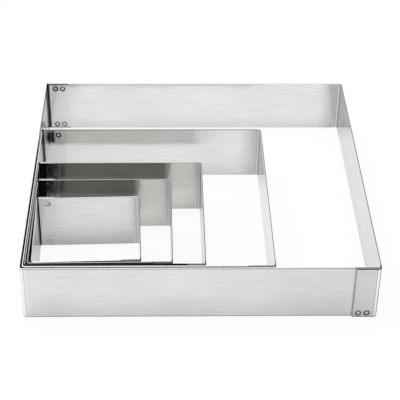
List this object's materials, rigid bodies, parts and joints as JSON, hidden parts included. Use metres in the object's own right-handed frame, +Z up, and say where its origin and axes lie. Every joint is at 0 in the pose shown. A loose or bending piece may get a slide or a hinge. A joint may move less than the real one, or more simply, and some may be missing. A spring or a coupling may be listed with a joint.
{
  "type": "square pastry ring set",
  "caption": "Nest of plain square pastry rings in polished stainless sheet, open top and bottom, each made of two bent strips lapped and spot welded; the inner rings lift out.",
  "frame": {"origin": "centre of the largest ring on the plane that all the rings stand on", "axes": "+Z up through the open rings, +X to the right and +Y to the back; the loose rings are pushed into the corner at -X and -Y"},
  "size_m": [0.2014, 0.2032, 0.035],
  "materials": {
    "polished_stainless": "bright polished stainless sheet with a faint rolled grain, cut edges lightly broken",
    "weld_metal": "spot weld nugget, dull as melted, sealed between the lapped sheets"
  },
  "bodies": {
    "largest_ring": {"largest_ring_left_front_strip": "polished_stainless", "largest_ring_right_back_strip": "polished_stainless", "largest_ring_back_weld_1": "weld_metal", "largest_ring_back_weld_2": "weld_metal", "largest_ring_back_weld_3": "weld_metal", "largest_ring_back_weld_4": "weld_metal", "largest_ring_front_weld_1": "weld_metal", "largest_ring_front_weld_2": "weld_metal", "largest_ring_front_weld_3": "weld_metal", "largest_ring_front_weld_4": "weld_metal"},
    "large_ring": {"large_ring_left_front_strip": "polished_stainless", "large_ring_right_back_strip": "polished_stainless", "large_ring_back_weld_1": "weld_metal", "large_ring_back_weld_2": "weld_metal", "large_ring_back_weld_3": "weld_metal", "large_ring_back_weld_4": "weld_metal", "large_ring_front_weld_1": "weld_metal", "large_ring_front_weld_2": "weld_metal", "large_ring_front_weld_3": "weld_metal", "large_ring_front_weld_4": "weld_metal"},
    "middle_ring": {"middle_ring_left_front_strip": "polished_stainless", "middle_ring_right_back_strip": "polished_stainless", "middle_ring_back_weld_1": "weld_metal", "middle_ring_back_weld_2": "weld_metal", "middle_ring_front_weld_1": "weld_metal", "middle_ring_front_weld_2": "weld_metal"},
    "small_ring": {"small_ring_left_front_strip": "polished_stainless", "small_ring_right_back_strip": "polished_stainless", "small_ring_back_weld_1": "weld_metal", "small_ring_back_weld_2": "weld_metal", "small_ring_front_weld_1": "weld_metal", "small_ring_front_weld_2": "weld_metal"},
    "smallest_ring": {"smallest_ring_left_front_strip": "polished_stainless", "smallest_ring_right_back_strip": "polished_stainless", "smallest_ring_back_weld_1": "weld_metal", "smallest_ring_back_weld_2": "weld_metal", "smallest_ring_front_weld_1": "weld_metal", "smallest_ring_front_weld_2": "weld_metal"}
  },
  "joints": [
    {"name": "lift_large_ring", "type": "slide", "parent": "largest_ring", "child": "large_ring", "axis": [0, 0, 1], "range_m": [0, 0.045]},
    {"name": "lift_middle_ring", "type": "slide", "parent": "largest_ring", "child": "middle_ring", "axis": [0, 0, 1], "range_m": [0, 0.045]},
    {"name": "lift_small_ring", "type": "slide", "parent": "largest_ring", "child": "small_ring", "axis": [0, 0, 1], "range_m": [0, 0.045]},
    {"name": "lift_smallest_ring", "type": "slide", "parent": "largest_ring", "child": "smallest_ring", "axis": [0, 0, 1], "range_m": [0, 0.045]}
  ]
}
